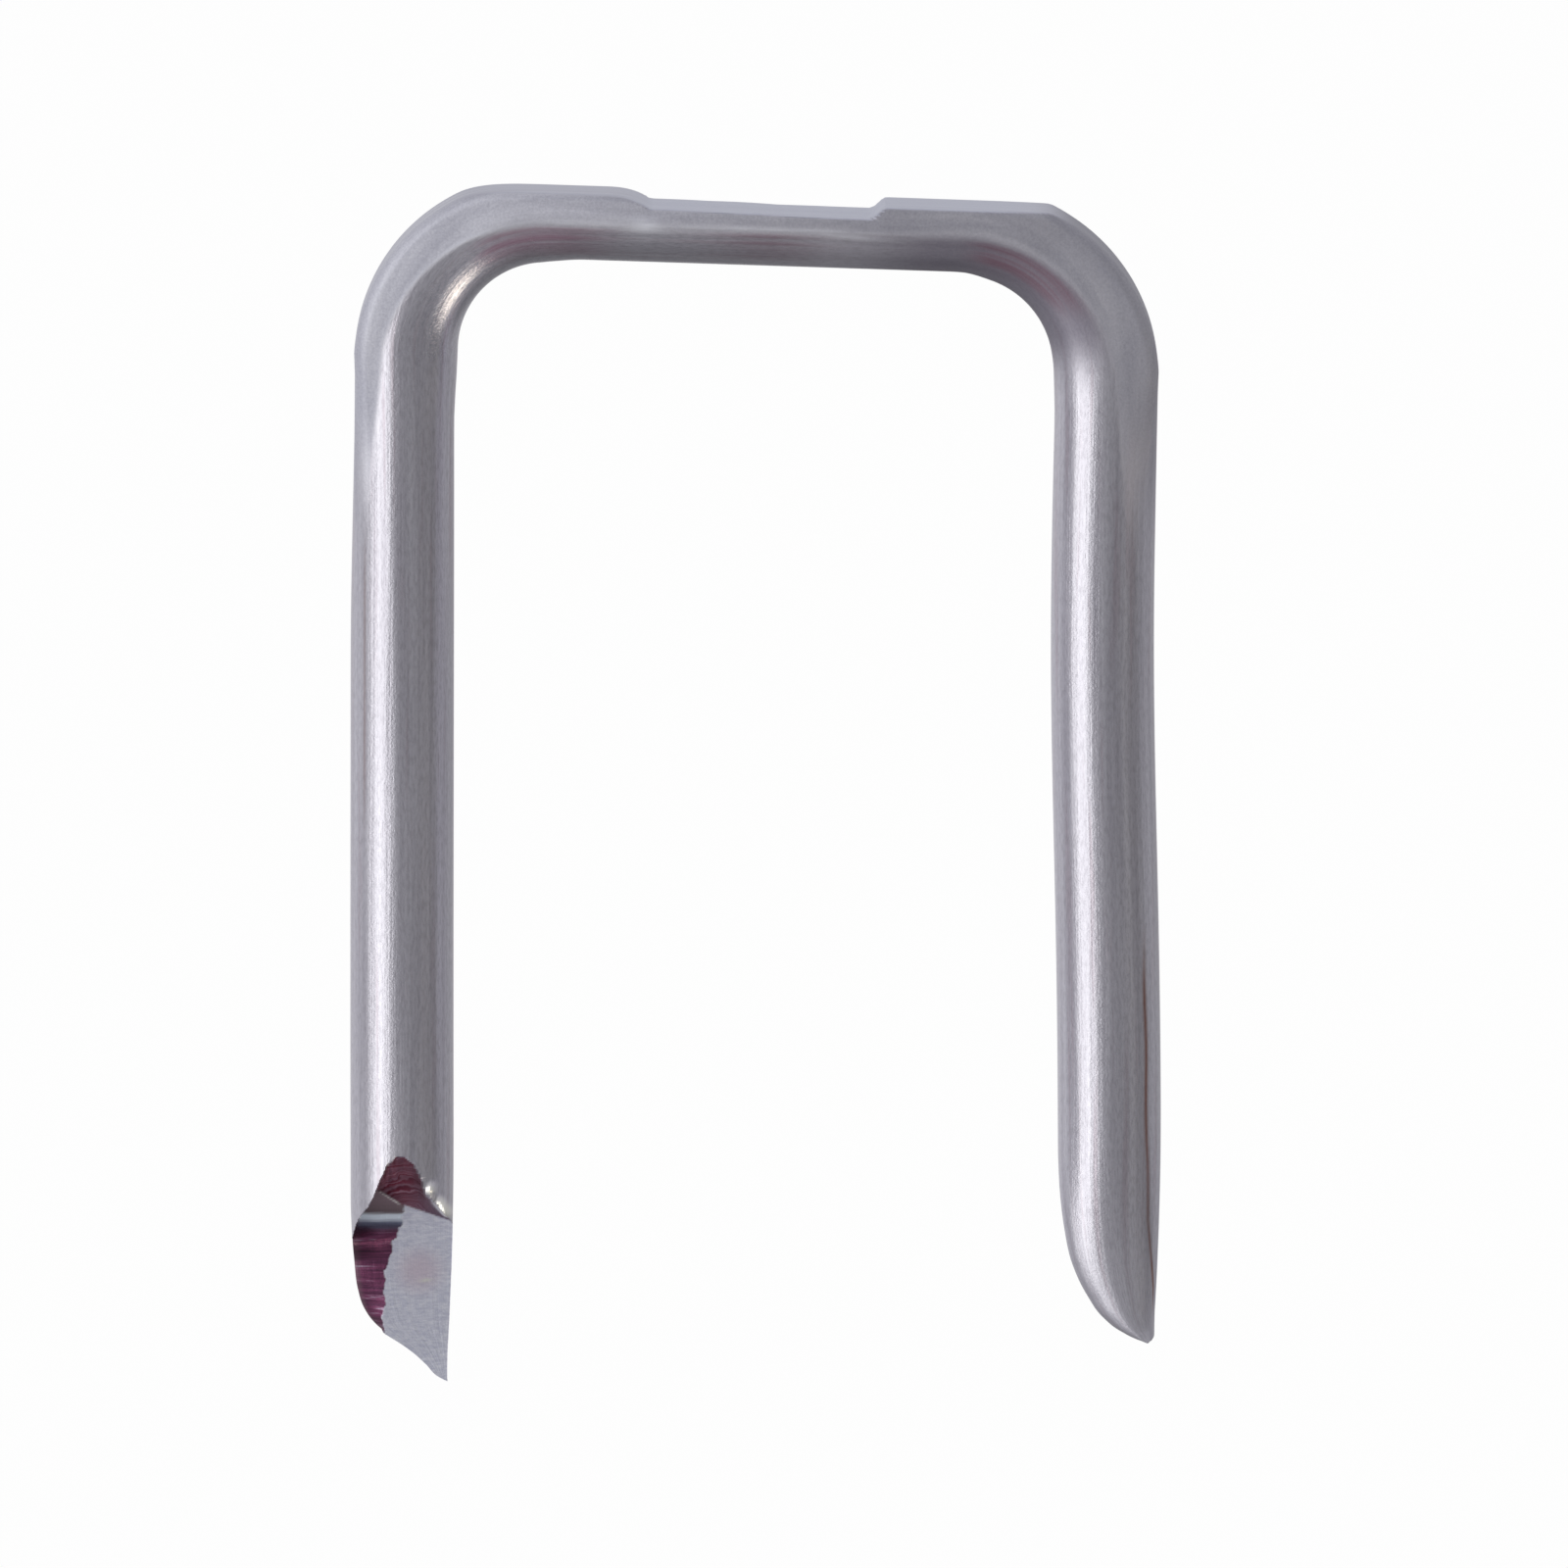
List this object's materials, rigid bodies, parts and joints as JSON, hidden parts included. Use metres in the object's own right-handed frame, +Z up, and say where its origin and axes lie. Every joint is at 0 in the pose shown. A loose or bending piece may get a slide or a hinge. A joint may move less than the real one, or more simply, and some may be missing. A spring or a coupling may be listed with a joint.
{
  "type": "cable staple",
  "caption": "U-shaped wire staple with a flat-struck crown and two sheared points, driven over a sheathed cable to hold it on timber.",
  "frame": {"origin": "midway between the two legs, on the wire's middle plane, level with the longer leg's point", "axes": "+Z runs up the legs from the points to the crown, +X runs across from the longer leg to the shorter one, +Y is the staple's depth, away from the pictured side"},
  "size_m": [0.0192, 0.0028, 0.0287],
  "materials": {
    "zinc_plated_steel": "thin bright zinc plating with draw lines along the wire; raw shear marks at both points"
  },
  "bodies": {
    "root": {"staple_wire": "zinc_plated_steel"}
  },
  "joints": []
}
